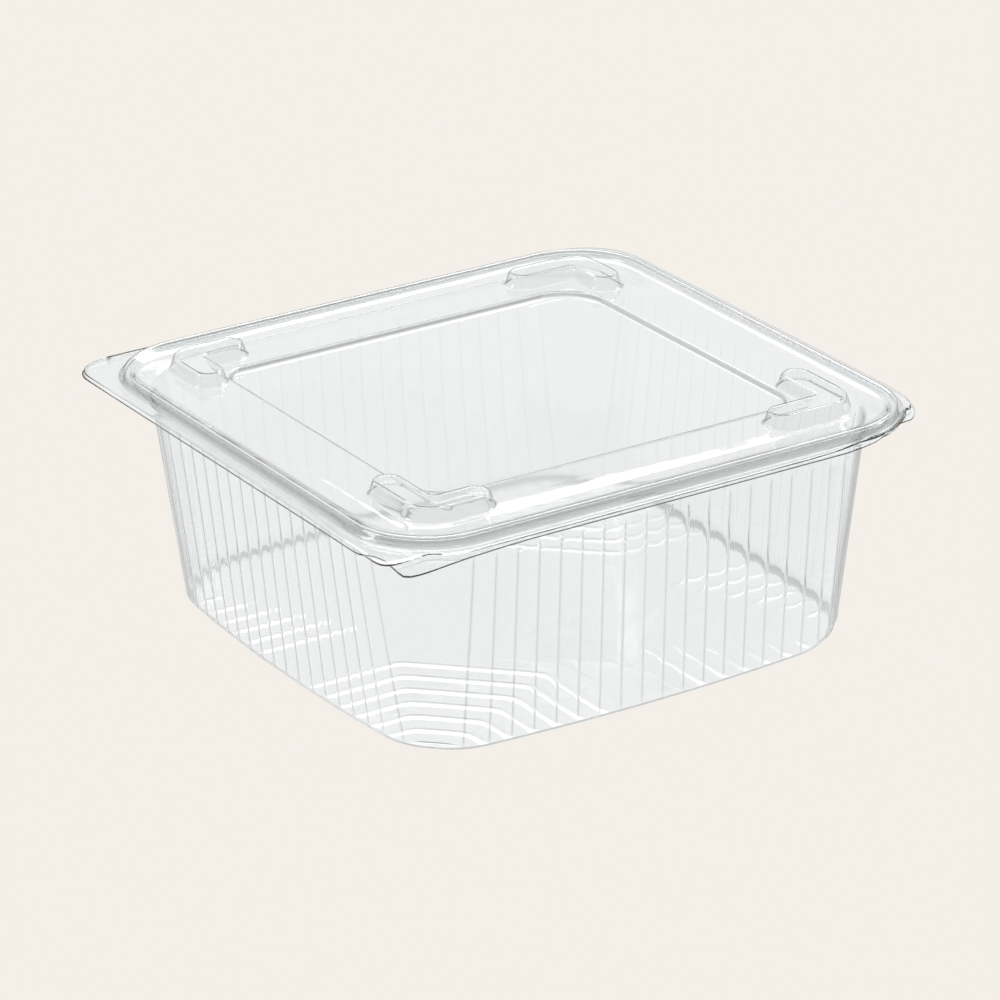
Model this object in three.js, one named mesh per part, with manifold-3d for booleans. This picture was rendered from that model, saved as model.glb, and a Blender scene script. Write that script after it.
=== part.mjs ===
// A clear hinged takeaway container, shut: a tray with ribbed walls and a rippled floor, and the
// lid that is folded over it from the same formed sheet. Millimetres, +Z up. The opening tabs are
// at the -X end of the front (-Y), the fold runs along the back (+Y).
import * as THREE from "three";
import { mergeVertices } from "three/addons/utils/BufferGeometryUtils.js";
import Module from "manifold-3d";

const wasm = await Module();
wasm.setup();

// Sheet
const SHEET = 0.5;
const NEST_GAP = 0.35;

// Outline of the flange, and where its plane lies above the table
const WIDTH = 188;
const DEPTH = 183.6;
const FLANGE_CORNER = 30;
const FLANGE_Z = 67.5;
const HINGE_EDGE = 0.6;
const TRAY_EDGE_LEFT = 0.6;
const TRAY_CORNER_FRONT_RIGHT = 31;
const LID_CORNER_FRONT_RIGHT = 32;
const BACK_CORNER_RIGHT = 20;
const BACK_CORNER_LEFT = 10;

// How far the corner tabs move the middle of the whole box off the middle of the flange
const MIDDLE_X = 0.4;
const MIDDLE_Y = 1.5;

// Tray walls
const WALL_INSET_TOP = 7.45;
const WALL_INSET_FOOT_X = 17;
const WALL_INSET_FOOT_Y = 15.1;
const WALL_FOOT_Z = 4;
const FOOT_BOW = 4;
const FLOOR_EDGE = 3;
const SIDE_STEPS = 6;

// Corner radii of the walls, in the order back right, back left, front left (the tabs), front right
const FOOT_CORNERS = [25, 26, 21, 28];
const TOP_CORNERS = [33, 36, 28, 38];
const SHELF_Z = -1;

// Upright ribs, pressed into the walls from outside
const RIB_PITCH = 7.05;
const RIB_DEPTH = 0.55;
const RIB_WIDTH = 0.8;
const RIB_PROUD = 0.8;
const RIBS_PER_WALL = 19;
const RIB_LOW_Z = 4.5;
const RIB_HIGH_Z = 61.5;

// Ripples round each corner of the floor: they leave each wall square and cross the corner at 45 degrees
const RIPPLES = 8;
const RIPPLE_HEIGHT = 0.5;
const RIPPLE_WIDTH = 2.2;
const RIPPLE_FIRST_X = 9;
const RIPPLE_PITCH_X = 7.8;
const RIPPLE_FIRST_Y = 6.3;
const RIPPLE_PITCH_Y = 8.1;
const RIPPLE_FIRST_DIAGONAL = 50.5;
const RIPPLE_PITCH_DIAGONAL = 12;

// Raised middle of the floor
const KICK_UP = 1.2;
const KICK_HALF_X = 26;
const KICK_HALF_Y = 24;
const KICK_CORNER = 12;

// Lid, heights above the flange plane
const BEAD_TOP = 3.9;
const RIDGE_HALF = 74;
const RIDGE_CORNER = 12;
const RING_Z = 2.75;
const PANEL_Z = 1.5;
const PANEL_HALF_X = 61.6;
const PANEL_HALF_Y = 57.1;
const PANEL_CORNER = 14;
const PANEL_STEP_RUN = 1.2;

// Stacking lugs: a raised angle at each corner of the lid, with round ends
const LUG_TOP = 6.75;
const LUG_FOOT = 2.4;
const LUG_OUTER_X = 75.2;
const LUG_OUTER_Y = 74.2;
const LUG_INNER_X = 63;
const LUG_INNER_Y = 63.2;
const LUG_END_X_LEFT = 47.9;
const LUG_END_X_RIGHT = 43.8;
const LUG_END_Y_FRONT = 44.5;
const LUG_END_Y_BACK = 50;
const LUG_OUTER_CORNER = 10;
const LUG_INNER_CORNER = 2.5;
const LUG_DRAFT = 1.1;

// Opening tabs at the front corner
const TRAY_TAB_REACH = 3.6;
const LID_TAB_REACH = 0.8;

const ARC_STEPS = 7;

// A closed body as a manifold, from a geometry
function body(geometry) {
  const bare = new THREE.BufferGeometry();
  bare.setAttribute("position", geometry.getAttribute("position"));
  if (geometry.index) bare.setIndex(geometry.index);
  const merged = mergeVertices(bare, 1e-4);
  const mesh = new wasm.Mesh({
    numProp: 3,
    vertProperties: new Float32Array(merged.getAttribute("position").array),
    triVerts: new Uint32Array(merged.index.array),
  });
  return new wasm.Manifold(mesh);
}

// A body whose skin runs through rings of equally many points, with a flat cap at each end
function loft(rings) {
  const count = rings[0].length;
  const places = rings.flat(2);
  const faces = [];
  for (let r = 0; r + 1 < rings.length; r++) {
    for (let i = 0; i < count; i++) {
      const a = r * count + i;
      const b = r * count + ((i + 1) % count);
      faces.push(a, b, b + count, a, b + count, a + count);
    }
  }
  const cap = (ring, start, flip) => {
    const flat = ring.map((p) => new THREE.Vector2(p[0], p[1]));
    for (const [a, b, c] of THREE.ShapeUtils.triangulateShape(flat, [])) {
      if (flip) faces.push(start + a, start + c, start + b);
      else faces.push(start + a, start + b, start + c);
    }
  };
  cap(rings[0], 0, true);
  cap(rings[rings.length - 1], (rings.length - 1) * count, false);
  const geometry = new THREE.BufferGeometry();
  geometry.setAttribute("position", new THREE.Float32BufferAttribute(places, 3));
  geometry.setIndex(faces);
  return body(geometry);
}

// The radius of one corner, where a ring has one for all or its own for each
function radiusOf(corners, quarter) {
  return Array.isArray(corners) ? corners[quarter % 4] : corners;
}

// The quarter of the plan that a place is in, in the order of the corners
function quarterOf(x, y) {
  if (y >= 0) return x >= 0 ? 0 : 1;
  return x < 0 ? 2 : 3;
}

// A rectangle with round corners at one height, anticlockwise, with points along its sides too if asked
function roundRing(halfX, halfY, corners, z, sideSteps = 1) {
  const ring = [];
  for (let quarter = 0; quarter < 4; quarter++) {
    const corner = radiusOf(corners, quarter);
    const next = radiusOf(corners, quarter + 1);
    const sx = quarter === 0 || quarter === 3 ? 1 : -1;
    const sy = quarter < 2 ? 1 : -1;
    for (let k = 0; k <= ARC_STEPS; k++) {
      const turn = ((quarter + k / ARC_STEPS) * Math.PI) / 2;
      ring.push([
        sx * (halfX - corner) + corner * Math.cos(turn),
        sy * (halfY - corner) + corner * Math.sin(turn),
        z,
      ]);
    }
    for (let k = 1; k < sideSteps; k++) {
      const share = k / sideSteps;
      const alongX = quarter % 2 === 0;
      const half = alongX ? halfX : halfY;
      const along = (half - corner) * (1 - share) - (half - next) * share;
      ring.push(alongX ? [sx * along, sy * halfY, z] : [sx * halfX, sy * along, z]);
    }
  }
  return ring;
}

// How much of the bow a place on the outline has: all of it at the middle of a side, none at a corner
function bowShare(x, y, halfX, halfY, corner) {
  const atCorner = 1 - (corner / Math.min(halfX, halfY)) * (1 - Math.SQRT1_2);
  const near = Math.min(Math.abs(x) / halfX, Math.abs(y) / halfY) / atCorner;
  return 1 - near * near;
}

// A round-cornered ring of the tray whose sides bow outwards
function trayRing(halfX, halfY, corners, z, bow = 0) {
  return roundRing(halfX, halfY, corners, z, SIDE_STEPS).map(([x, y]) => {
    const corner = radiusOf(corners, quarterOf(x, y));
    const share = bow * bowShare(x, y, halfX, halfY, corner);
    const pastX = Math.sign(x) * Math.max(0, Math.abs(x) - halfX + corner);
    const pastY = Math.sign(y) * Math.max(0, Math.abs(y) - halfY + corner);
    return [x + (share * pastX) / corner, y + (share * pastY) / corner, z];
  });
}

// The same, measured inwards from the flange's outline
function insetRing(inset, z, corner = FLANGE_CORNER - inset) {
  return roundRing(WIDTH / 2 - inset, DEPTH / 2 - inset, corner, FLANGE_Z + z);
}

// A ring of the tray's rim, measured the same way
function rimRing(inset, z) {
  return trayRing(WIDTH / 2 - inset, DEPTH / 2 - inset, FLANGE_CORNER - inset, FLANGE_Z + z);
}

// A ring of the tray's foot, measured inwards from where the wall ends
function footRing(inset, z) {
  const halfX = WIDTH / 2 - WALL_INSET_FOOT_X - inset;
  const halfY = DEPTH / 2 - WALL_INSET_FOOT_Y - inset;
  const corners = FOOT_CORNERS.map((corner) => corner - inset);
  return trayRing(halfX, halfY, corners, z, FOOT_BOW);
}

// The top ring of the tray's walls, whose corners are rounder than the rim's and leave a small shelf there
function shelfRing(inset, z) {
  const corners = TOP_CORNERS.map((corner) => corner + WALL_INSET_TOP - inset);
  return trayRing(WIDTH / 2 - inset, DEPTH / 2 - inset, corners, FLANGE_Z + z);
}

// A flat plate with the given outline and a round-cornered hole
function plate(outline, low, high, holeInset) {
  const full = loft([
    outline.map(([x, y]) => [x, y, FLANGE_Z + low]),
    outline.map(([x, y]) => [x, y, FLANGE_Z + high]),
  ]);
  const hole = loft([insetRing(holeInset, low - 1), insetRing(holeInset, high + 1)]);
  return full.subtract(hole);
}

// Points of a quarter turn in the plan
function arc(x, y, corner, from, steps = ARC_STEPS) {
  const points = [];
  for (let k = 0; k <= steps; k++) {
    const turn = ((from + (90 * k) / steps) * Math.PI) / 180;
    points.push([x + corner * Math.cos(turn), y + corner * Math.sin(turn)]);
  }
  return points;
}

// The flange's outline, anticlockwise from the tab at the front corner, whose first point is on the left edge
function flangeOutline(tab, frontRight) {
  const x = WIDTH / 2;
  const y = DEPTH / 2;
  const back = y + HINGE_EDGE;
  const left = tab[0][0];
  return [
    ...tab,
    ...arc(x - frontRight, -y + frontRight, frontRight, -90),
    ...arc(x - BACK_CORNER_RIGHT, back - BACK_CORNER_RIGHT, BACK_CORNER_RIGHT, 0),
    ...arc(left + BACK_CORNER_LEFT, back - BACK_CORNER_LEFT, BACK_CORNER_LEFT, 90),
  ];
}

function trayTab() {
  const x = -WIDTH / 2;
  const y = -DEPTH / 2;
  const low = y - TRAY_TAB_REACH;
  const left = x - TRAY_EDGE_LEFT;
  return [
    [left, y + 33],
    [left, y + 19],
    [left + 1.2, y + 16],
    [x + 2.2, y + 13],
    [x + 2.7, y + 9],
    [x + 2.2, y + 4],
    [x + 1.6, y],
    [x + 1.6, low + 1.6],
    [x + 2.6, low + 0.4],
    [x + 4.6, low],
    [x + 9, low + 0.2],
    [x + 18, y - 2],
    [x + 28, y - 0.9],
    [x + 43, y],
  ];
}

function lidTab() {
  const x = -WIDTH / 2;
  const y = -DEPTH / 2;
  const left = x - LID_TAB_REACH;
  return [
    [x, y + 43],
    [left + 0.2, y + 22],
    [left, y + 9.5],
    [left + 0.3, y + 7],
    [left + 1.6, y + 5.2],
    [left + 4, y + 4.4],
    [x + 9, y + 4.6],
    [x + 13.5, y + 5],
    [x + 16, y + 3.8],
    [x + 18.5, y + 1.6],
    [x + 22, y + 0.4],
    [x + 28, y],
  ];
}

// Where a wall stands at one height and place along it, and which way it faces, round the corner too
function wallSpot(alongY, side, z, place) {
  const share = (z - WALL_FOOT_Z) / (FLANGE_Z + SHELF_Z - WALL_FOOT_Z);
  const from = (foot, top) => foot + (top - foot) * share;
  const halfX = WIDTH / 2 - from(WALL_INSET_FOOT_X, WALL_INSET_TOP);
  const halfY = DEPTH / 2 - from(WALL_INSET_FOOT_Y, WALL_INSET_TOP);
  const quarter = alongY ? quarterOf(side, place) : quarterOf(place, side);
  const corner = from(FOOT_CORNERS[quarter], TOP_CORNERS[quarter]);
  const half = alongY ? halfX : halfY;
  const otherHalf = alongY ? halfY : halfX;
  const past = Math.max(0, Math.abs(place) - otherHalf + corner);
  const turn = Math.asin(past / corner) * Math.sign(place);
  const out = half - corner + corner * Math.cos(turn);
  const bow = from(FOOT_BOW, 0) * bowShare(alongY ? out : place, alongY ? place : out, halfX, halfY, corner);
  return { out: out + bow * Math.cos(turn), turn };
}

// One upright rib as a wedge on the wall of the given axis and sign
function rib(alongY, side, place, sink, wide, lift) {
  const ringAt = (z) => {
    const { out, turn } = wallSpot(alongY, side, z, place);
    const spot = (deep, across) => [
      out + deep * Math.cos(turn) - across * Math.sin(turn),
      place + deep * Math.sin(turn) + across * Math.cos(turn),
    ];
    const corners = [spot(lift, -wide / 2), spot(lift, wide / 2), spot(-sink, 0)];
    const ring = corners.map(([o, a]) => (alongY ? [side * o, a, z] : [a, side * o, z]));
    const turnsLeft = alongY === side > 0;
    return turnsLeft ? ring : ring.reverse();
  };
  const levels = [RIB_LOW_Z, RIB_HIGH_Z];
  const turned = levels.some((z) => wallSpot(alongY, side, z, place).turn !== 0);
  if (turned) levels.splice(1, 0, (RIB_LOW_Z + RIB_HIGH_Z) / 2);
  return loft(levels.map(ringAt));
}

function ribsOf(sink, wide, lift) {
  const ribs = [];
  for (const side of [-1, 1]) {
    for (let i = 0; i < RIBS_PER_WALL; i++) {
      const place = (i - (RIBS_PER_WALL - 1) / 2) * RIB_PITCH;
      ribs.push(rib(false, side, place, sink, wide, lift));
      ribs.push(rib(true, side, place, sink, wide, lift));
    }
  }
  return wasm.Manifold.union(ribs);
}

// A low ridge on the floor between two points of the plan, pointed at both ends
function ridge(from, to, base) {
  const dx = to[0] - from[0];
  const dy = to[1] - from[1];
  const length = Math.hypot(dx, dy);
  const nx = (-dy / length) * (RIPPLE_WIDTH / 2);
  const ny = (dx / length) * (RIPPLE_WIDTH / 2);
  const low = base - 0.2;
  const section = (p) => [
    [p[0] + nx, p[1] + ny, low],
    [p[0] - nx, p[1] - ny, low],
    [p[0], p[1], base + RIPPLE_HEIGHT],
  ];
  const ends = [...section(from), ...section(to)];
  return wasm.Manifold.hull(ends);
}

function ripples(base) {
  const parts = [];
  const reachX = WIDTH / 2 - WALL_INSET_FOOT_X - SHEET - 1.5;
  const reachY = DEPTH / 2 - WALL_INSET_FOOT_Y - SHEET - 1.5;
  for (const sx of [-1, 1]) {
    for (const sy of [-1, 1]) {
      for (let k = 0; k < RIPPLES; k++) {
        const atX = RIPPLE_FIRST_X + k * RIPPLE_PITCH_X;
        const atY = RIPPLE_FIRST_Y + k * RIPPLE_PITCH_Y;
        const diagonal = RIPPLE_FIRST_DIAGONAL + k * RIPPLE_PITCH_DIAGONAL;
        const kneeA = [diagonal - atY, atY];
        const kneeB = [atX, diagonal - atX];
        const endA = [Math.min(reachX, reachX - (k - 4) * 1.2), atY];
        const endB = [atX, Math.min(reachY, reachY - (k - 4) * 1.2)];
        const place = ([x, y]) => [sx * x, sy * y];
        parts.push(ridge(place(kneeA), place(kneeB), base));
        if (endA[0] > kneeA[0] + 1) parts.push(ridge(place(endA), place(kneeA), base));
        if (endB[1] > kneeB[1] + 1) parts.push(ridge(place(kneeB), place(endB), base));
      }
    }
  }
  return wasm.Manifold.union(parts);
}

function makeTray() {
  const kickRing = (grow, z) =>
    trayRing(KICK_HALF_X + grow, KICK_HALF_Y + grow, KICK_CORNER + grow / 2, z);
  const shell = loft([
    kickRing(-1.5, KICK_UP),
    kickRing(0, 0),
    footRing(FLOOR_EDGE, 0),
    footRing(FLOOR_EDGE * 0.5, 0.5),
    footRing(FLOOR_EDGE * 0.12, 2),
    footRing(0, WALL_FOOT_Z),
    shelfRing(WALL_INSET_TOP, SHELF_Z),
    rimRing(7.3, SHELF_Z + 0.5),
    rimRing(6.9, 1.4),
    rimRing(6.3, 2.3),
    rimRing(5.3, 2.55),
    rimRing(4.7, 2.1),
    rimRing(4.3, 0.2),
    rimRing(3.7, -SHEET / 2),
    rimRing(1.5, -SHEET / 2),
    rimRing(1.5, SHEET / 2),
    rimRing(3.3, SHEET / 2),
    rimRing(3.8, 0.6),
    rimRing(4.2, 2.4),
    rimRing(4.9, 3),
    rimRing(5.6, 3.05),
    rimRing(6.8, 2.7),
    rimRing(7.4, 1.6),
    rimRing(7.8, SHELF_Z + SHEET + 0.5),
    shelfRing(WALL_INSET_TOP + SHEET, SHELF_Z + SHEET),
    footRing(SHEET, WALL_FOOT_Z),
    footRing(SHEET + FLOOR_EDGE * 0.12, 2.2),
    footRing(SHEET + FLOOR_EDGE * 0.5, 0.95),
    footRing(SHEET + FLOOR_EDGE * 0.95, SHEET),
    kickRing(0.2, SHEET),
    kickRing(-1.3, KICK_UP + SHEET),
  ]);
  const flange = plate(flangeOutline(trayTab(), TRAY_CORNER_FRONT_RIGHT), -SHEET / 2, SHEET / 2, 2.6);
  const innerRibs = ribsOf(SHEET + RIB_DEPTH, RIB_WIDTH + 2 * SHEET + 0.9, -0.3);
  const grooveWidth = (RIB_WIDTH * (RIB_DEPTH + RIB_PROUD)) / RIB_DEPTH;
  const outerRibs = ribsOf(RIB_DEPTH, grooveWidth, RIB_PROUD);
  return shell
    .add(flange)
    .add(innerRibs)
    .subtract(outerRibs)
    .add(ripples(SHEET));
}

// The plan of one lug in the +X +Y corner, shrunk by a margin all round
function lugOutline(margin, reachX, reachY) {
  const outX = LUG_OUTER_X - margin;
  const outY = LUG_OUTER_Y - margin;
  const inX = LUG_INNER_X + margin;
  const inY = LUG_INNER_Y + margin;
  const endRadiusX = (outX - inX) / 2;
  const endRadiusY = (outY - inY) / 2;
  const endX = reachX + margin + endRadiusY;
  const endY = reachY + margin + endRadiusX;
  const outer = LUG_OUTER_CORNER - margin;
  const inner = LUG_INNER_CORNER + margin;
  const innerArc = arc(inX - inner, inY - inner, inner, 0, 4).reverse();
  return [
    ...arc(outX - outer, outY - outer, outer, 0),
    ...arc(endX, outY - endRadiusY, endRadiusY, 90, 4),
    ...arc(endX, outY - endRadiusY, endRadiusY, 180, 4).slice(1),
    ...innerArc,
    ...arc(outX - endRadiusX, endY, endRadiusX, 180, 4),
    ...arc(outX - endRadiusX, endY, endRadiusX, 270, 4).slice(1),
  ];
}

function lugs(layers) {
  const all = [];
  for (const sx of [-1, 1]) {
    for (const sy of [-1, 1]) {
      const reachX = sx < 0 ? LUG_END_X_LEFT : LUG_END_X_RIGHT;
      const reachY = sy < 0 ? LUG_END_Y_FRONT : LUG_END_Y_BACK;
      const rings = layers.map(([margin, z]) => {
        const ring = lugOutline(margin, reachX, reachY).map(([x, y]) => [sx * x, sy * y, FLANGE_Z + z]);
        return sx * sy > 0 ? ring : ring.reverse();
      });
      all.push(loft(rings));
    }
  }
  return wasm.Manifold.union(all);
}

function makeLid() {
  const low = SHEET / 2 + NEST_GAP;
  const high = low + SHEET;
  const ring = (half, corner, z) => roundRing(half, half, corner, FLANGE_Z + z);
  const panel = (grow, z) =>
    roundRing(PANEL_HALF_X + grow, PANEL_HALF_Y + grow, PANEL_CORNER + grow, FLANGE_Z + z);
  const sheet = loft([
    panel(-0.3, PANEL_Z - SHEET),
    panel(PANEL_STEP_RUN - 0.3, RING_Z - SHEET),
    ring(RIDGE_HALF, RIDGE_CORNER, RING_Z - SHEET),
    insetRing(17.2, 1.75, 14.5),
    insetRing(12.2, 1.5),
    insetRing(6.1, BEAD_TOP - 0.55),
    insetRing(5, BEAD_TOP - SHEET),
    insetRing(4.1, BEAD_TOP - 0.6),
    insetRing(3.55, 3),
    insetRing(3.2, 1.1),
    insetRing(2.5, low),
    insetRing(1.2, low),
    insetRing(1.2, high),
    insetRing(2.2, high),
    insetRing(2.7, 1.5),
    insetRing(3.1, 3.2),
    insetRing(3.8, BEAD_TOP - 0.1),
    insetRing(5, BEAD_TOP),
    insetRing(6.2, BEAD_TOP - 0.1),
    insetRing(12.2, 2),
    insetRing(17.2, 2.25, 14.5),
    ring(RIDGE_HALF, RIDGE_CORNER, RING_Z),
    panel(PANEL_STEP_RUN, RING_Z),
    panel(0, PANEL_Z),
  ]);
  const flange = plate(flangeOutline(lidTab(), LID_CORNER_FRONT_RIGHT), low, high, 2.4);
  const raised = lugs([
    [0, LUG_FOOT - 0.4],
    [LUG_DRAFT, LUG_TOP - 0.6],
    [LUG_DRAFT + 0.6, LUG_TOP],
  ]);
  const hollow = lugs([
    [SHEET, -3],
    [SHEET + 0.1, LUG_FOOT - 0.4],
    [SHEET + LUG_DRAFT, LUG_TOP - SHEET - 0.5],
    [SHEET + LUG_DRAFT + 0.4, LUG_TOP - SHEET],
  ]);
  return sheet.add(flange).add(raised).subtract(hollow);
}

function meshOf(solid, name, material) {
  const data = solid.getMesh();
  const places = new Float32Array(data.numVert * 3);
  for (let i = 0; i < data.numVert; i++) {
    for (let k = 0; k < 3; k++) {
      places[i * 3 + k] = data.vertProperties[i * data.numProp + k];
    }
  }
  const geometry = new THREE.BufferGeometry();
  geometry.setAttribute("position", new THREE.BufferAttribute(places, 3));
  geometry.setIndex(new THREE.BufferAttribute(new Uint32Array(data.triVerts), 1));
  geometry.translate(MIDDLE_X, MIDDLE_Y, 0);
  geometry.computeVertexNormals();
  const mesh = new THREE.Mesh(geometry, material);
  mesh.name = name;
  return mesh;
}

const trayPlastic = new THREE.MeshStandardMaterial({
  color: 0xe9e9e8,
  roughness: 0.12,
  metalness: 0,
  transparent: true,
  opacity: 0.3,
});
const lidPlastic = new THREE.MeshStandardMaterial({
  color: 0xececeb,
  roughness: 0.1,
  metalness: 0,
  transparent: true,
  opacity: 0.3,
});

const group = new THREE.Group();
group.name = "hinged_container";
group.add(meshOf(makeTray(), "tray", trayPlastic));
group.add(meshOf(makeLid(), "lid", lidPlastic));

export default group;
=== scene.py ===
"""A clear hinged takeaway box, shut: the ribbed tray, the low lid and the fold that joins them.

Lengths in the shape functions are millimetres, measured from the middle of the flange; meshes are
made in metres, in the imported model's frame. Each part of the box is worked out as one skin of the
formed sheet, and the other skin lies the sheet's thickness behind it.
"""

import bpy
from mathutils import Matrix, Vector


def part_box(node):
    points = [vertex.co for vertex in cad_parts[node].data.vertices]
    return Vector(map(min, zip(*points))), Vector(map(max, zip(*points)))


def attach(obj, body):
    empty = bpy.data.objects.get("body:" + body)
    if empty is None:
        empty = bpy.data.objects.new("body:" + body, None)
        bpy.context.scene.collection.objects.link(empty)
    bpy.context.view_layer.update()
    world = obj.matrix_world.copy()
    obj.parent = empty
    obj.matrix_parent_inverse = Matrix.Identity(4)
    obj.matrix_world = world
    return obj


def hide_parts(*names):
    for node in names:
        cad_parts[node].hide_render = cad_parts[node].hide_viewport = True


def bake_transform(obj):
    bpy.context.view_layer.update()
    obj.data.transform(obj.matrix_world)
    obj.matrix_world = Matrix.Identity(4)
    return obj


bl_info = {
    "name": "Clear hinged takeaway box",
    "version": (1, 0, 0),
    "blender": (4, 5, 0),
    "location": "View3D > Sidebar > Takeaway box",
    "description": "Builds the clear sheet surfaces, the fold and the studio round the packed box",
    "category": "Add Mesh",
}

import bpy
import numpy as np
from mathutils import Matrix, Vector

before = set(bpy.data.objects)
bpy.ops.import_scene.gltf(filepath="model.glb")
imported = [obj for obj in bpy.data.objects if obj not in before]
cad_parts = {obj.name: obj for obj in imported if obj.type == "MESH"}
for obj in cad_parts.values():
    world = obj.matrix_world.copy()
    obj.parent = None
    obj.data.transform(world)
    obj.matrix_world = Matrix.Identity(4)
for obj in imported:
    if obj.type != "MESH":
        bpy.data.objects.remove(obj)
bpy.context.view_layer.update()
_, tray_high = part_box("tray")
lid_low, lid_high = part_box("lid")

MM = 0.001

# Look of the sheet: its material's name, where painted shade greys it and dims its clearness as it is
# looked along, and how clear it stays
SHEET_NAME = "Clear thermoformed PET sheet"
PET_IOR = 1.57
PAINTED_EDGE_SHADE = 0.75
FACING_GREY = (0.62, 0.93)
UPRIGHT_GREY = (0.24, 0.5)
SHADOW_CLEARNESS = 0.93
DRAWN_SCALE = 38.0
DRAWN_DEPTH = 0.002
DRAWN_STRENGTH = 0.06

# Outline of the flange and its place in the frame
WIDTH = 188.0
DEPTH = 183.6
FLANGE_CORNER = 30.0
HINGE_EDGE = 0.6
SOLID_SHEET = 0.5
NEST_GAP = 0.35
TRAY_EDGE_Z = -0.25
LID_EDGE_Z = 1.1
BACK_GAP = 0.05
CENTRE_X = tray_high[0] / MM - WIDTH / 2
CENTRE_Y = tray_high[1] / MM - HINGE_EDGE - DEPTH / 2
FLANGE_Z = lid_low[2] / MM - NEST_GAP - SOLID_SHEET / 2
LUG_TOP = lid_high[2] / MM - FLANGE_Z

# Corner radii of the walls: front right, back right, back left, front left (the tabs)
FOOT_CORNERS = np.array([28.0, 25.0, 26.0, 21.0])
TOP_CORNERS = np.array([38.0, 33.0, 36.0, 28.0])
SHELF_TOP_Z = -0.2
SHELF_BOTTOM_Z = -2.2
SHELF_STEPS = 7

# Points of the rings and of the flange's outline
RIM_CORNER_STEPS = 24
RIM_STRAIGHT = 60.0
RIM_PLACES = 41
WALL_CORNER_STEPS = 20
OUTLINE_POINTS = 2400

# Tray walls and foot
WALL_INSET_TOP = 7.45
WALL_INSET_FOOT_X = 17.0
WALL_INSET_FOOT_Y = 15.1
WALL_FOOT_Z = 4.0
FOOT_BOW = 4.0
FLOOR_EDGE = 3.0
# Painted shade: a grey line along the crease where the floor meets the wall, between the two heights below
FOOT_LINE_SHARE = 0.42
FOOT_LINE_LOW = 0.1
FOOT_LINE_HIGH = 1.3
WALL_TOP_Z = FLANGE_Z - 1.0

# Upright ribs
RIB_PITCH = 7.05
RIB_HALF_WIDTH = 0.9
RIBS_PER_WALL = 19
RIB_LOW_Z = 1.2
RIB_HIGH_Z = 62.5
RIB_FADE = 2.6
# Painted shade: grey lines down the ribs' middles, greyer on the front and left walls than on the far ones
RIB_LINE_SHARES = np.array([0.28, 0.07, 0.07, 0.25])
RIB_LINE_GAIN = 1.9
RIB_DEPTH_SHARES = np.array([1.0, 0.6, 0.6, 1.0])

# Floor ripples and the raised middle
RIPPLES = 8
FIRST_RIPPLE_SHARE = 0.2
RIPPLE_HALF_WIDTH = 1.4
RIPPLE_TURN_SHARPNESS = 9.0
RIPPLE_END_RUN = 1.5
FLOOR_LINES_X = 149
FLOOR_LINES_Y = 147
RIPPLE_FIRST_X = 9.0
RIPPLE_PITCH_X = 7.8
RIPPLE_FIRST_Y = 6.3
RIPPLE_PITCH_Y = 8.1
RIPPLE_FIRST_DIAGONAL = 50.5
RIPPLE_PITCH_DIAGONAL = 12.0
KICK_HALF_X = 26.0
KICK_HALF_Y = 24.0
KICK_CORNER = 12.0
KICK_UP = 0.2
KICK_RUN = 10.0

# Lid, heights above the flange plane
RIDGE_HALF = 74.0
RIDGE_CORNER = 12.0
RIDGE_START = 5.0
RIDGE_RUN = 11.0
RING_Z = 2.75
VALLEY_Z = 2.1
PANEL_Z = 1.5
PANEL_HALF_X = 61.6
PANEL_HALF_Y = 57.1
PANEL_CORNERS = np.array([8.0, 14.0, 7.0, 14.0])
PANEL_STEP_RUN = 1.3
# Painted shade: a grey line along the panel's step, none on the lugs
PANEL_LINE_SHARE = 0.5
PANEL_LINE_WIDTH = 0.4
LUG_CENTRE_X = 69.1
LUG_CENTRE_Y = 68.7
LUG_HALF_WIDTH = 5.8
LUG_BEND = 4.5
LUG_SLOPE = 1.7
LUG_INNER_FILLET = 2.0
LUG_END_X_LEFT = 47.9
LUG_END_X_RIGHT = 43.8
LUG_END_Y_FRONT = 42.0
LUG_END_Y_BACK = 47.5
CREST_INSET = 16.0
CREST_CORNER = 15.0
LID_LINE_GAP = 0.52
LID_MIDDLE_LINES = 32

# Tabs at the front corner, and the tray's edge at the left
TRAY_TAB_REACH = 3.57
LID_TAB_REACH = 0.8
TRAY_EDGE_LEFT = 0.6

# Painted shade on the flange's outer line: how far out its grey starts, and how far forwards the far sides
# reach
EDGE_LINE_SHARE = 0.6
EDGE_LINE_FROM = 0.9
FAR_SIDE_SHIFT = 0.3

# Fold along the back edge
FOLD_LEFT = -82.0
FOLD_RIGHT = 72.0
FOLD_STEPS = 12
FOLD_PLACES = 80
FOLD_FORWARD = 0.08

# Camera, worked out from the box's parallel edges: place in millimetres and turns in degrees
CAMERA_PLACE = (-746.3, -1194.0, 635.0)
CAMERA_AZIMUTH = -31.8867
CAMERA_ELEVATION = 23.0729
CAMERA_ROLL = 1.1565
CAMERA_LENS = 188.17
CAMERA_SENSOR = 36.0
CLEAR_BOUNCES = 40
GLOSSY_BOUNCES = 12

# Studio: the brightness of its walls and ceiling, and where each begins and ends
FLOOR_REACH = 6.0
FLOOR_DROP = 0.0006
WALLS_FROM_TO = (0.35, 0.85)
WALLS_DARK = 0.08
BRIGHTEST = 0.9
CEILING_FROM_TO = (0.8, 0.97)
HORIZON_FROM_TO = (0.02, 0.3)
HORIZON_SHARE = 0.3


def rgb(colour):
    """The linear colour of an sRGB hex value such as '#f4efe8'."""
    parts = np.array([int(colour[i : i + 2], 16) for i in (1, 3, 5)]) / 255
    linear = np.where(parts <= 0.04045, parts / 12.92, ((parts + 0.055) / 1.055) ** 2.4)
    return (*linear, 1.0)


def smooth_step(t):
    """0 below 0, 1 above 1, and an S-shaped rise between them."""
    t = np.clip(t, 0, 1)
    return t * t * (3 - 2 * t)


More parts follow.
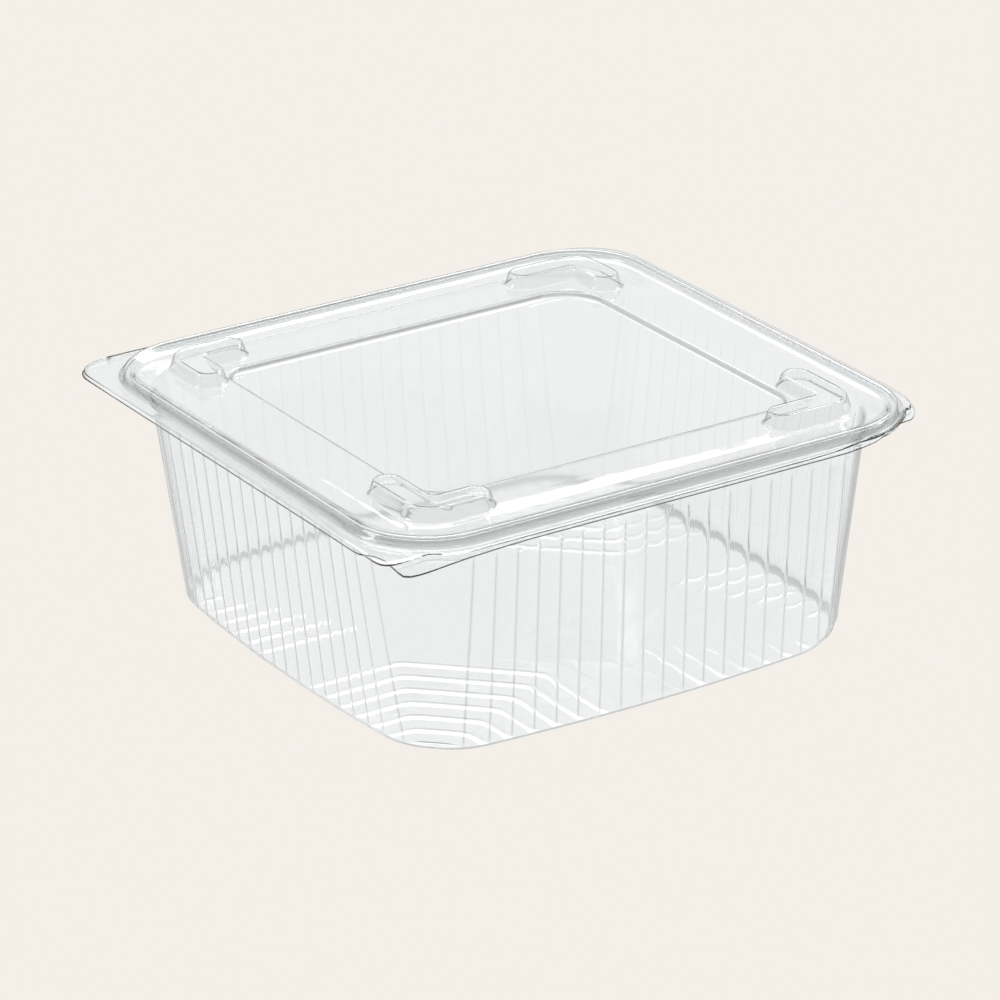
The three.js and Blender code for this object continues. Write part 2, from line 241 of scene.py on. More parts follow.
def through(points, count):
    """count points along a Catmull-Rom curve through the given ones, evenly shared by length."""
    p = np.asarray(points, float)
    padded = np.vstack([2 * p[0] - p[1], p, 2 * p[-1] - p[-2]])
    length = np.r_[0, np.cumsum(np.linalg.norm(np.diff(p, axis=0), axis=1))]
    at = np.linspace(0, length[-1], count)
    span = np.clip(np.searchsorted(length, at, side="right") - 1, 0, len(p) - 2)
    t = ((at - length[span]) / (length[span + 1] - length[span]))[:, None]
    a, b, c, d = (padded[span + k] for k in range(4))
    return 0.5 * (
        2 * b + (c - a) * t + (2 * a - 5 * b + 4 * c - d) * t**2 + (3 * b - a - 3 * c + d) * t**3
    )


def round_distance(x, y, half_x, half_y, corner):
    """Signed distance to a round-cornered rectangle about the middle: below 0 inside."""
    past_x = np.abs(x) - half_x + corner
    past_y = np.abs(y) - half_y + corner
    outside = np.hypot(np.maximum(past_x, 0), np.maximum(past_y, 0))
    return outside + np.minimum(np.maximum(past_x, past_y), 0) - corner


def bow_share(x, y, half_x, half_y, corner):
    """Share of the walls' bow: one at the middle of a side, falling as a square to none at a corner."""
    at_corner = 1 - corner / np.minimum(half_x, half_y) * (1 - np.sqrt(0.5))
    near = np.minimum(np.abs(x) / half_x, np.abs(y) / half_y) / at_corner
    return 1 - near**2


def radius_at(x, y, corners):
    """The radius of the corner in whose quarter of the plan each place lies."""
    front = np.where(x < 0, corners[3], corners[0])
    back = np.where(x < 0, corners[2], corners[1])
    return np.where(y < 0, front, back)


def ring(half_x, half_y, corners, places, corner_steps, bow=0.0):
    """Points and outward normals round a round-cornered rectangle, anticlockwise from the front.

    Along each side the points stand at the given places, even where the corner has begun to
    turn; from the last place of one side to the first of the next they share out the turn. Each
    point is its arc's centre plus the corner radius along the normal, and the bow moves it
    further along that normal.
    """
    corners = np.broadcast_to(corners, 4)
    points, normals = [], []
    for side in range(4):
        across, after = (half_x, half_y) if side % 2 == 0 else (half_y, half_x)
        radius = np.where(places < 0, corners[side - 1], corners[side])
        past = np.clip(np.abs(places) - across + radius, 0, radius)
        turn = np.arcsin(past / radius) * np.sign(places)
        along = np.clip(places, corners[side - 1] - across, across - corners[side])
        next_past = max(0.0, -places[0] - after + corners[side])
        last_turn = np.pi / 2 - np.arcsin(next_past / corners[side])
        turn = np.r_[turn, np.linspace(turn[-1], last_turn, corner_steps + 2)[1:-1]]
        along = np.r_[along, np.full(corner_steps, across - corners[side])]
        radius = np.r_[radius, np.full(corner_steps, corners[side])]
        cos, sin = round(np.cos(side * np.pi / 2)), round(np.sin(side * np.pi / 2))
        point_x, point_y = along + radius * np.sin(turn), after - radius + radius * np.cos(turn)
        normal_x, normal_y = np.sin(turn), np.cos(turn)
        points.append(np.c_[point_x * cos + point_y * sin, point_x * sin - point_y * cos])
        normals.append(np.c_[normal_x * cos + normal_y * sin, normal_x * sin - normal_y * cos])
    point, normal = np.vstack(points), np.vstack(normals)
    radius = radius_at(point[:, 0], point[:, 1], corners)
    share = bow_share(point[:, 0], point[:, 1], half_x, half_y, radius)
    return point + normal * (bow * share)[:, None], normal


class Sheet:
    """Vertices and faces of one skin of the sheet, gathered ring by ring."""

    def __init__(self):
        self.vertices = []
        self.painted_shade = []
        self.count = 0
        self.quads = []
        self.triangles = []

    def add(self, points, painted_shade=0.0):
        """Stores points, with the share of painted shade at each, and gives their numbers."""
        ids = np.arange(self.count, self.count + len(points))
        self.vertices.append(points)
        self.painted_shade.append(np.broadcast_to(painted_shade, len(points)))
        self.count += len(points)
        return ids

    def band(self, inner, outer):
        """A strip of quads between two closed rings of equally many points."""
        self.quads.append(np.c_[inner, outer, np.roll(outer, -1), np.roll(inner, -1)])

    def grid(self, ids):
        """Quads over a two-dimensional array of vertex numbers, x along the first axis."""
        corners = [ids[:-1, :-1], ids[1:, :-1], ids[1:, 1:], ids[:-1, 1:]]
        self.quads.append(np.stack([c.ravel() for c in corners], axis=1))

    def zip_rings(self, inner, outer):
        """Triangles between two closed rings of any number of points.

        Both rings are read in order of their angle about the middle; each step takes the next
        point of either ring and joins it to the latest point of both.
        """
        points = np.vstack(self.vertices)
        angle = [np.arctan2(points[r, 1], points[r, 0]) for r in (inner, outer)]
        sorted_rings = [r[np.argsort(a)] for r, a in zip((inner, outer), angle)]
        order = np.argsort(np.r_[np.sort(angle[0]), np.sort(angle[1])], kind="stable")
        is_outer = order >= len(inner)
        seen = [np.cumsum(~is_outer), np.cumsum(is_outer)]
        before = [seen[0] - ~is_outer - 1, seen[1] - is_outer - 1]
        latest = [r[b % len(r)] for r, b in zip(sorted_rings, before)]
        now = [r[(s - 1) % len(r)] for r, s in zip(sorted_rings, seen)]
        fresh = np.where(is_outer, now[1], now[0])
        self.triangles.append(np.c_[latest[0], latest[1], fresh])

    def arrays(self):
        """All vertices, quads and triangles as whole arrays."""
        quads = np.vstack(self.quads)
        triangles = np.vstack(self.triangles) if self.triangles else np.zeros((0, 3), int)
        return np.vstack(self.vertices), quads, triangles


def vertex_normals(vertices, quads, triangles):
    """Unit normals at the vertices: the faces' area vectors summed round each one."""
    total = np.zeros_like(vertices)
    for faces in (quads, triangles):
        if not len(faces):
            continue
        first, second, third, last = (vertices[faces[:, k]] for k in (0, 1, 2, -1))
        if faces.shape[1] == 4:
            area = np.cross(third - first, last - second)
        else:
            area = np.cross(second - first, third - first)
        for k in range(faces.shape[1]):
            np.add.at(total, faces[:, k], area)
    return total / np.linalg.norm(total, axis=1, keepdims=True)


def thickened(vertices, quads, triangles, thickness):
    """A closed shell: the skin, a second one the thickness away along the normals, and its edges.

    The skin's faces look up or inwards. With a thickness above 0 the second skin lies on that
    side, and the first is turned round; below 0 it lies behind.
    """
    count = len(vertices)
    second = vertices + vertex_normals(vertices, quads, triangles) * thickness
    shift_kept, shift_turned = (count, 0) if thickness > 0 else (0, count)
    edges = [quads[:, [k, (k + 1) % 4]] for k in range(4)]
    edges += [triangles[:, [k, (k + 1) % 3]] for k in range(3)]
    edges = np.vstack(edges)
    key = edges[:, 0] * count + edges[:, 1]
    back = edges[:, 1] * count + edges[:, 0]
    rim = edges[~np.isin(key, back)]
    sides = np.c_[rim[:, ::-1] + shift_kept, rim + shift_turned]
    all_quads = np.vstack([quads + shift_kept, quads[:, ::-1] + shift_turned, sides])
    all_triangles = np.vstack([triangles + shift_kept, triangles[:, ::-1] + shift_turned])
    return np.vstack([vertices, second]), all_quads, all_triangles


def make_object(name, vertices, quads, triangles, material, painted_shade=None):
    """A smooth-shaded mesh object from arrays in millimetres about the middle of the flange.

    Where the painted shade values of one skin are given, both skins carry them as an attribute.
    """
    mesh = bpy.data.meshes.new(name)
    place = (vertices + [CENTRE_X, CENTRE_Y, 0.0]) * MM
    loops = np.concatenate([quads.ravel(), triangles.ravel()]).astype(np.int32)
    sizes = np.r_[np.full(len(quads), 4), np.full(len(triangles), 3)]
    mesh.vertices.add(len(place))
    mesh.vertices.foreach_set("co", place.astype(np.float32).ravel())
    mesh.loops.add(len(loops))
    mesh.loops.foreach_set("vertex_index", loops)
    mesh.polygons.add(len(sizes))
    mesh.polygons.foreach_set("loop_start", np.r_[0, np.cumsum(sizes)[:-1]].astype(np.int32))
    mesh.polygons.foreach_set("loop_total", sizes.astype(np.int32))
    mesh.update(calc_edges=True)
    mesh.validate()
    if painted_shade is not None:
        values = mesh.attributes.new("painted_shade", "FLOAT", "POINT")
        values.data.foreach_set("value", np.tile(np.concatenate(painted_shade), 2).astype(np.float32))
    mesh.shade_smooth()
    mesh.materials.append(material)
    obj = bpy.data.objects.new(name, mesh)
    bpy.context.scene.collection.objects.link(obj)
    return obj


def mapped_square(lines_x, lines_y, corners, bow=0.0):
    """Plan positions of a grid whose outer edge is a round-cornered rectangle.

    In each corner square the grid is bent by the elliptical map, x times the root of one less
    half the square of y, which turns the square's two outer edges into a quarter circle. A bow
    moves each point outwards by its share, fading with the fourth power towards the middle.
    """
    half_x, half_y = lines_x[-1], lines_y[-1]
    u, v = np.meshgrid(lines_x, lines_y, indexing="ij")
    corner = radius_at(u, v, np.broadcast_to(corners, 4))

    def bent(x, y):
        p = np.clip((np.abs(x) - half_x + corner) / corner, 0, 1)
        q = np.clip((np.abs(y) - half_y + corner) / corner, 0, 1)
        in_corner = (p > 0) & (q > 0)
        bent_x = np.sign(x) * (half_x - corner + corner * p * np.sqrt(1 - q * q / 2))
        bent_y = np.sign(y) * (half_y - corner + corner * q * np.sqrt(1 - p * p / 2))
        return np.where(in_corner, bent_x, x), np.where(in_corner, bent_y, y)

    x, y = bent(u, v)
    if bow:
        reach = np.maximum(np.maximum(np.abs(u) / half_x, np.abs(v) / half_y), 1e-6)
        edge_x, edge_y = bent(u / reach, v / reach)
        share = bow * bow_share(edge_x, edge_y, half_x, half_y, corner) * reach**4
        past_x = np.sign(edge_x) * np.maximum(np.abs(edge_x) - half_x + corner, 0) / corner
        past_y = np.sign(edge_y) * np.maximum(np.abs(edge_y) - half_y + corner, 0) / corner
        x, y = x + share * past_x, y + share * past_y
    return x, y


def edge_of(ids):
    """The outer ring of a grid's vertex numbers, anticlockwise."""
    return np.concatenate([ids[:-1, 0], ids[-1, :-1], ids[:0:-1, -1], ids[0, :0:-1]])


def floor_height(x, y):
    """Height of the tray's floor: ripples over the raised middle.

    The ripples are the level lines of the smallest of three plane distances, one square to each
    wall and one at 45 degrees across the corner, each counted in its own pitch; a ripple is a
    raised cosine as wide as it is far from the nearest whole number.
    """
    across_y = (np.abs(y) - RIPPLE_FIRST_Y) / RIPPLE_PITCH_Y
    across_x = (np.abs(x) - RIPPLE_FIRST_X) / RIPPLE_PITCH_X
    diagonal = (np.abs(x) + np.abs(y) - RIPPLE_FIRST_DIAGONAL) / RIPPLE_PITCH_DIAGONAL
    distances = np.clip([across_x, across_y, diagonal], -3, 12)
    spread = np.exp(-RIPPLE_TURN_SHARPNESS * distances).sum(axis=0)
    level = -np.log(spread) / RIPPLE_TURN_SHARPNESS
    number = np.clip(np.round(level), 0, RIPPLES)
    away = np.abs(level - number) * (RIPPLE_PITCH_X + RIPPLE_PITCH_Y) / 2
    ripple = np.cos(np.clip(away / RIPPLE_HALF_WIDTH, 0, 1) * np.pi / 2) ** 2
    height = bpy.context.scene.takeaway_tray.ripple_height / MM
    half_x = WIDTH / 2 - WALL_INSET_FOOT_X - FLOOR_EDGE
    half_y = DEPTH / 2 - WALL_INSET_FOOT_Y - FLOOR_EDGE
    corner = radius_at(x, y, FOOT_CORNERS - FLOOR_EDGE)
    bow = FOOT_BOW * bow_share(x, y, half_x, half_y, corner)
    to_edge = bow - round_distance(x, y, half_x, half_y, corner)
    height = height * smooth_step(to_edge / RIPPLE_END_RUN) * np.where(number > 0, 1, FIRST_RIPPLE_SHARE)
    middle = round_distance(x, y, KICK_HALF_X, KICK_HALF_Y, KICK_CORNER)
    return ripple * height + KICK_UP * smooth_step(-middle / KICK_RUN)


def rib_places():
    """Places along a wall: eight for each rib, close together across it."""
    near, far = 0.42, 2.1
    across = [-RIB_HALF_WIDTH, -near, 0.0, near, RIB_HALF_WIDTH]
    offsets = np.array([*across, far, RIB_PITCH / 2, RIB_PITCH - far])
    centres = (np.arange(RIBS_PER_WALL) - (RIBS_PER_WALL - 1) / 2) * RIB_PITCH
    places = (centres[:, None] + offsets[None, :]).ravel()
    return places[:-2]


def rib_profile(places):
    """How deep a place lies in its rib: one at the rib's middle, none beyond its sides."""
    near = np.abs(places / RIB_PITCH - np.round(places / RIB_PITCH)) * RIB_PITCH
    return np.clip(1 - near / RIB_HALF_WIDTH, 0, 1)


def wall_ring(z, inset, places, corner_steps, rib_depth):
    """One level of the tray's wall, with its ribs pressed inwards, and the painted shade of their grey
    lines.

    The half sizes, the corner and the bow run straight from the foot to the top, and a foot
    curve stands further in by its inset. The lines are narrower than the ribs.
    """
    share = max(0.0, (z - WALL_FOOT_Z) / (WALL_TOP_Z - WALL_FOOT_Z))
    half_x = WIDTH / 2 - WALL_INSET_FOOT_X + (WALL_INSET_FOOT_X - WALL_INSET_TOP) * share - inset
    half_y = DEPTH / 2 - WALL_INSET_FOOT_Y + (WALL_INSET_FOOT_Y - WALL_INSET_TOP) * share - inset
    corners = FOOT_CORNERS + (TOP_CORNERS - FOOT_CORNERS) * share - inset
    point, normal = ring(half_x, half_y, corners, places, corner_steps, FOOT_BOW * (1 - share))
    rib = np.tile(np.r_[rib_profile(places), np.zeros(corner_steps)], 4)
    depth = rib_depth * smooth_step((z - RIB_LOW_Z) / RIB_FADE) * smooth_step((RIB_HIGH_Z - z) / RIB_FADE)
    count = len(places) + corner_steps
    point = point - normal * (rib * depth * np.repeat(RIB_DEPTH_SHARES, count))[:, None]
    seen = np.repeat(RIB_LINE_SHARES, count)
    line = np.clip(1 + RIB_LINE_GAIN * (rib - 1), 0, 1) * seen * depth / rib_depth
    return np.c_[point, np.full(len(point), z)], line


def rim_places():
    """Places along a side of the rim: far apart, as its profile is the same all along."""
    return np.linspace(-RIM_STRAIGHT, RIM_STRAIGHT, RIM_PLACES)


def flange_edge(tab, tip, back):
    """The flange's outline, anticlockwise: its tab, its right tip and two round corners at the back."""
    right, left = WIDTH / 2, tab[0][0]
    arcs = []
    for side, inwards, radius, start in ((right, -1, 20, 0), (left, 1, 10, 90)):
        turn = np.radians(start + np.linspace(0, 90, 24))
        middle = side + inwards * radius
        arcs.append(np.c_[middle + radius * np.cos(turn), back - radius + radius * np.sin(turn)])
    corners = np.vstack([through(tab, 160), through(tip, 100), *arcs])
    closed = np.vstack([corners, corners[:1]])
    length = np.r_[0, np.cumsum(np.linalg.norm(np.diff(closed, axis=0), axis=1))]
    at = np.linspace(0, length[-1], OUTLINE_POINTS, endpoint=False)
    return np.c_[np.interp(at, length, closed[:, 0]), np.interp(at, length, closed[:, 1])]


def tray_tab():
    """Points of the tray's tab, which reaches forwards and stands back from the side."""
    x, y = -WIDTH / 2, -DEPTH / 2
    low = y - TRAY_TAB_REACH
    left = x - TRAY_EDGE_LEFT
    return [
        (left, y + 33), (left, y + 19), (left + 1.2, y + 16), (x + 2.2, y + 13), (x + 2.7, y + 9),
        (x + 2.2, y + 4), (x + 1.6, y), (x + 1.6, low + 1.6), (x + 2.6, low + 0.4), (x + 4.6, low),
        (x + 9, low + 0.2), (x + 18, y - 2), (x + 28, y - 0.9), (x + 43, y),
    ]


def lid_tab():
    """Points of the lid's tab, which reaches sideways and stands back from the front."""
    x, y = -WIDTH / 2, -DEPTH / 2
    left = x - LID_TAB_REACH
    return [
        (x, y + 43), (left + 0.2, y + 22), (left, y + 9.5), (left + 0.3, y + 7), (left + 1.6, y + 5.2),
        (left + 4, y + 4.4), (x + 9, y + 4.6), (x + 13.5, y + 5), (x + 16, y + 3.8),
        (x + 18.5, y + 1.6), (x + 22, y + 0.4), (x + 28, y),
    ]


def tray_tip():
    """Points of the tray's right corner: a wide turn that ends in a small blunt tip."""
    x, y = WIDTH / 2, -DEPTH / 2
    return [
        (x - 38, y), (x - 28.5, y + 1.7), (x - 21, y + 5), (x - 14.6, y + 8.7), (x - 11.8, y + 9.6),
        (x - 8.4, y + 10), (x - 5, y + 13.2), (x - 2.2, y + 18), (x - 0.6, y + 25), (x, y + 34),
    ]


def lid_tip():
    """Points of the lid's right corner, which stands further in and has a sharper notch."""
    x, y = WIDTH / 2, -DEPTH / 2
    return [
        (x - 50, y + 0.2), (x - 38, y + 1.2), (x - 27, y + 3.6), (x - 17.5, y + 8), (x - 11.6, y + 12.8),
        (x - 9, y + 14.4), (x - 5.6, y + 14.6), (x - 3.2, y + 17.4), (x - 1.2, y + 22), (x - 0.2, y + 30),
        (x, y + 40),
    ]


def onto_outline(points, outline):
    """Each point moved along its line from the middle until it meets the outline."""
    angle = np.arctan2(outline[:, 1], outline[:, 0])
    reach = np.hypot(outline[:, 0], outline[:, 1])
    order = np.argsort(angle)
    at = np.arctan2(points[:, 1], points[:, 0])
    far = np.interp(at, angle[order], reach[order], period=2 * np.pi)
    return np.c_[np.cos(at), np.sin(at)] * far[:, None]


def rim_ring(sheet, inset, z, corners, painted_shade=0.0):
    """Adds one level ring of the rim, given inset and height, and gives its point numbers and plan."""
    point, _ = ring(WIDTH / 2 - inset, DEPTH / 2 - inset, corners, rim_places(), RIM_CORNER_STEPS)
    return sheet.add(np.c_[point, np.full(len(point), FLANGE_Z + z)], painted_shade), point


def rim_rings(sheet, profile, outline, edge_profile, inner=()):
    """Rings of the rim from its inner end out to the flange's edge, each joined to the last.

    The profile gives inset, height and the share of painted shade; the edge profile gives
    the share of the way from the profile's last ring to the outline, and the height there.
    """
    rings = list(inner)
    for inset, z, painted_shade in profile:
        ids, point = rim_ring(sheet, inset, z, FLANGE_CORNER - inset, max(0.0, painted_shade))
        rings.append(ids)
    edge = onto_outline(point, outline)
    # Painted shade: a grey line along the flange's outer edge, on the far sides only
    far = smooth_step((point[:, 0] + point[:, 1]) / WIDTH + FAR_SIDE_SHIFT) * EDGE_LINE_SHARE
    for share, z in edge_profile:
        between = point + (edge - point) * share
        painted_shade = far * (share > EDGE_LINE_FROM)
        rings.append(sheet.add(np.c_[between, np.full(len(between), FLANGE_Z + z)], painted_shade))
    for first, second in zip(rings, rings[1:]):
        sheet.band(first, second)
    return rings


def shelf_rings(sheet):
    """Rings that lead from the walls' round corners out to the rim's tighter ones.

    The height rises evenly while the radii change along an S, which leaves a small soft shelf in
    each corner.
    """
    rings = []
    for step in np.arange(SHELF_STEPS) / SHELF_STEPS:
        inset = WALL_INSET_TOP + 0.1 * (1 - step)
        z = SHELF_BOTTOM_Z + (SHELF_TOP_Z - SHELF_BOTTOM_Z) * step
        corners = TOP_CORNERS + (FLANGE_CORNER - WALL_INSET_TOP - TOP_CORNERS) * smooth_step(step)
        rings.append(rim_ring(sheet, inset, z, corners)[0])
    return rings


def build_tray(material):
    """The tray's outer skin from the floor's middle out to the flange, then thickened inwards."""
    sizes = bpy.context.scene.takeaway_tray
    thickness = bpy.context.scene.takeaway_sheet.thickness / MM
    sheet = Sheet()
    half_x = WIDTH / 2 - WALL_INSET_FOOT_X - FLOOR_EDGE
    half_y = DEPTH / 2 - WALL_INSET_FOOT_Y - FLOOR_EDGE
    lines_x = np.linspace(-half_x, half_x, FLOOR_LINES_X)
    lines_y = np.linspace(-half_y, half_y, FLOOR_LINES_Y)
    x, y = mapped_square(lines_x, lines_y, FOOT_CORNERS - FLOOR_EDGE, FOOT_BOW)
    ids = sheet.add(np.c_[x.ravel(), y.ravel(), floor_height(x, y).ravel()]).reshape(x.shape)
    sheet.grid(ids)
    places = rib_places()
    turn = np.radians(np.linspace(8, 82, 7))
    foot = [(FLOOR_EDGE - 0.35, 0.0)]
    foot += list(zip(FLOOR_EDGE * (1 - np.sin(turn)), WALL_FOOT_Z * (1 - np.cos(turn))))
    wall = [(0.0, z) for z in (4.4, 8, 16, 24, 32, 40, 48, 56, 59.5, 60.5, 61.4, 62.5, 64)]
    rings = []
    for inset, z in foot + wall:
        points, line = wall_ring(z, inset, places, WALL_CORNER_STEPS, sizes.rib_depth / MM)
        foot_line = FOOT_LINE_SHARE * (FOOT_LINE_LOW < z < FOOT_LINE_HIGH)
        rings.append(sheet.add(points, np.maximum(line, foot_line)))
    sheet.zip_rings(edge_of(ids), rings[0])
    for inner, outer in zip(rings, rings[1:]):
        sheet.band(inner, outer)
    shelf = shelf_rings(sheet)
    sheet.zip_rings(rings[-1], shelf[0])
    profile = through(
        [
            (WALL_INSET_TOP - 0.05, SHELF_TOP_Z, 0), (7.3, 0.8, 0), (6.95, 1.7, 0), (6.4, 2.35, 0),
            (5.7, 2.4, 0), (5.15, 1.9, 0), (4.8, 0.9, 0), (4.4, 0.1, 0), (3.9, -0.2, 0),
            (3.2, TRAY_EDGE_Z, 0),
        ],
        20,
    )
    outline = flange_edge(tray_tab(), tray_tip(), DEPTH / 2 - BACK_GAP)
    level = [(share, TRAY_EDGE_Z) for share in (0.3, 0.6, 0.84, 0.95, 1.0)]
    rim_rings(sheet, profile, outline, level, shelf)
    return make_object("tray_sheet", *thickened(*sheet.arrays(), thickness), material, sheet.painted_shade)


def lug_rise(x, y):
    """Share of the lugs' height: one on their tops, none beyond their feet.

    A lug is all that lies within its half width of an angle: two straight arms and the bend
    that joins them, an arm ending where its round end begins.
    """
    end_x = np.where(x < 0, LUG_END_X_LEFT, LUG_END_X_RIGHT) + LUG_HALF_WIDTH
    end_y = np.where(y < 0, LUG_END_Y_FRONT, LUG_END_Y_BACK) + LUG_HALF_WIDTH
    px, py = np.abs(x), np.abs(y)
    knee_x, knee_y = LUG_CENTRE_X - LUG_BEND, LUG_CENTRE_Y - LUG_BEND
    arm_x = np.hypot(px - np.clip(px, end_x, knee_x), py - LUG_CENTRE_Y)
    arm_y = np.hypot(px - LUG_CENTRE_X, py - np.clip(py, end_y, knee_y))
    in_bend = (px > knee_x) & (py > knee_y)
    bend = np.where(in_bend, np.abs(np.hypot(px - knee_x, py - knee_y) - LUG_BEND), 1e3)
    away = np.minimum(np.minimum(arm_x, arm_y), bend)
    blend = np.clip(0.5 + 0.5 * (arm_y - arm_x) / LUG_INNER_FILLET, 0, 1)
    soft = arm_y * (1 - blend) + arm_x * blend - LUG_INNER_FILLET * blend * (1 - blend)
    away = np.where(in_bend, away, np.minimum(away, soft))
    return smooth_step((LUG_HALF_WIDTH - away) / LUG_SLOPE)


def panel_distance(x, y):
    """Signed distance to the stepped-down panel's edge, whose corners have radii of their own."""
    return round_distance(x, y, PANEL_HALF_X, PANEL_HALF_Y, radius_at(x, y, PANEL_CORNERS))


def lid_height(x, y):
    """Height of the lid's top inside its rim, above the flange plane.

    From the valley the surface rises over a soft ridge to a flat ring, steps down to the
    panel, and carries the four lugs.
    """
    to_ridge = round_distance(x, y, RIDGE_HALF, RIDGE_HALF, RIDGE_CORNER)
    base = RING_Z + (VALLEY_Z + 0.1 - RING_Z) * smooth_step((to_ridge + RIDGE_START) / RIDGE_RUN)
    to_panel = panel_distance(x, y)
    base = PANEL_Z + (base - PANEL_Z) * smooth_step(to_panel / PANEL_STEP_RUN)
    rise = lug_rise(x, y)
    return base * (1 - rise) + LUG_TOP * rise


def lid_lines(reach, first_end, second_end):
    """Grid lines across the lid: close together where the lugs and the step are, far apart between."""
    first, second = first_end - 2, second_end - 2
    left = np.linspace(-reach, -first, int((reach - first) / LID_LINE_GAP))
    right = np.linspace(second, reach, int((reach - second) / LID_LINE_GAP))
    middle = np.linspace(-first, second, LID_MIDDLE_LINES)
    return np.concatenate([left, middle[1:-1], right])


def build_lid(material):
    """The lid's top skin from the panel out over the bead to the flange, then thickened downwards."""
    thickness = bpy.context.scene.takeaway_sheet.thickness / MM
    sheet = Sheet()
    half_x, half_y = WIDTH / 2 - CREST_INSET, DEPTH / 2 - CREST_INSET
    lines_x = lid_lines(half_x, LUG_END_X_LEFT, LUG_END_X_RIGHT)
    lines_y = lid_lines(half_y, LUG_END_Y_FRONT, LUG_END_Y_BACK)
    x, y = mapped_square(lines_x, lines_y, CREST_CORNER)
    z = FLANGE_Z + lid_height(x, y)
    to_panel = panel_distance(x, y)
    # Painted shade: a thin grey line along the middle of the panel's step
    line = np.exp(-(((to_panel - PANEL_STEP_RUN / 2) / PANEL_LINE_WIDTH) ** 2))
    line = line * (1 - lug_rise(x, y)) * PANEL_LINE_SHARE
    ids = sheet.add(np.c_[x.ravel(), y.ravel(), z.ravel()], line.ravel()).reshape(x.shape)
    sheet.grid(ids)
    # The third number of each point is painted shade: a grey band on the bead's steep outer side
    profile = through(
        [
            (CREST_INSET - 0.5, VALLEY_Z + 0.08, 0), (13.5, VALLEY_Z, 0), (11.2, 2.15, 0),
            (9.0, 2.5, 0), (7.4, 3.25, 0.06), (6.3, 3.8, 0.08), (5.6, 3.92, 0.03), (4.95, 3.72, 0.24),
            (4.4, 3.05, 0.32), (3.7, 1.95, 0.18), (3.25, 1.35, 0.08), (2.8, 1.12, 0),
            (2.3, LID_EDGE_Z, 0),
        ],
        26,
    )
    outline = flange_edge(lid_tab(), lid_tip(), DEPTH / 2 - BACK_GAP)
    level = [(0.3, LID_EDGE_Z), (0.6, LID_EDGE_Z), (0.84, 1.08), (0.95, 1.0), (1.0, 0.85)]
    rim = rim_rings(sheet, profile, outline, level)
    sheet.zip_rings(edge_of(ids), rim[0])
    return make_object("lid_sheet", *thickened(*sheet.arrays(), -thickness), material, sheet.painted_shade)


def build_fold(material):
    """The fold: half a turn of the sheet from the tray's back edge round to the lid's.

    Its section is two half circles, the sheet's thickness apart, repeated along the back edge.
    """
    thickness = bpy.context.scene.takeaway_sheet.thickness / MM
    low = FLANGE_Z + TRAY_EDGE_Z + thickness / 2
    high = FLANGE_Z + LID_EDGE_Z - thickness / 2
    radius = (high - low) / 2
    y = DEPTH / 2 - FOLD_FORWARD
    turn = np.linspace(-np.pi / 2, np.pi / 2, FOLD_STEPS + 1)
    along = np.linspace(FOLD_LEFT, FOLD_RIGHT, FOLD_PLACES)
    arcs = []
    for out in (radius - thickness / 2, radius + thickness / 2):
        arcs.append(np.c_[y + out * np.cos(turn), (low + high) / 2 + out * np.sin(turn)])
    section = np.vstack([arcs[1], arcs[0][::-1]])
    count = len(section)
    vertices = np.concatenate([np.c_[np.full(count, x), section] for x in along])
    start = np.arange(len(along) - 1)[:, None] * count
    k = np.arange(count)[None, :]
    after = (k + 1) % count
    quads = [start + k, start + k + count, start + after + count, start + after]
    quads = np.stack(quads, axis=-1).reshape(-1, 4)
    half = count // 2
    first = np.arange(half - 1)
    cap = np.c_[first, first + 1, count - 2 - first, count - 1 - first]
    quads = np.vstack([quads, cap, cap[:, ::-1] + (len(along) - 1) * count])
    return make_object("fold_sheet", vertices, quads[:, ::-1], np.zeros((0, 3), int), material)


def add_node(tree, kind, links=None, **settings):
    """Adds a shader node, sets its properties and input values, and links its inputs."""
    node = tree.nodes.new(kind)
    for name, value in settings.items():
        if name in node.bl_rna.properties:
            setattr(node, name, value)
        else:
            node.inputs[name.replace("_", " ")].default_value = value
    for name, source in (links or {}).items():
        tree.links.new(source, node.inputs[name])
    return node


def smooth_range(tree, source, from_to, low=0.0, high=1.0):
    """The output of a node that goes from low to high along an S while its source goes from_to."""
    start, end = from_to
    node = add_node(
        tree,
        "ShaderNodeMapRange",
        {"Value": source},
        interpolation_type="SMOOTHSTEP",
        From_Min=start,
        From_Max=end,
        To_Min=low,
        To_Max=high,
    )
    return node.outputs["Result"]


def joined(tree, operation, first, second):
    """The output of a node that joins two sources by a mathematical operation."""
    node = add_node(tree, "ShaderNodeMath", {0: first, 1: second}, operation=operation)
    return node.outputs["Value"]


def mix_to_output(tree, output, share, first, second):
    """Ends a tree with a mix of two shaders: the first where the share is 0, else the second."""
    mixed = add_node(tree, "ShaderNodeMixShader", {0: share, 1: first, 2: second})
    add_node(tree, output, {"Surface": mixed.outputs["Shader"]})


def empty_tree(owner):
    """The node tree of a new material or world, with nothing in it."""
    owner.use_nodes = True
    owner.node_tree.nodes.clear()
    return owner.node_tree


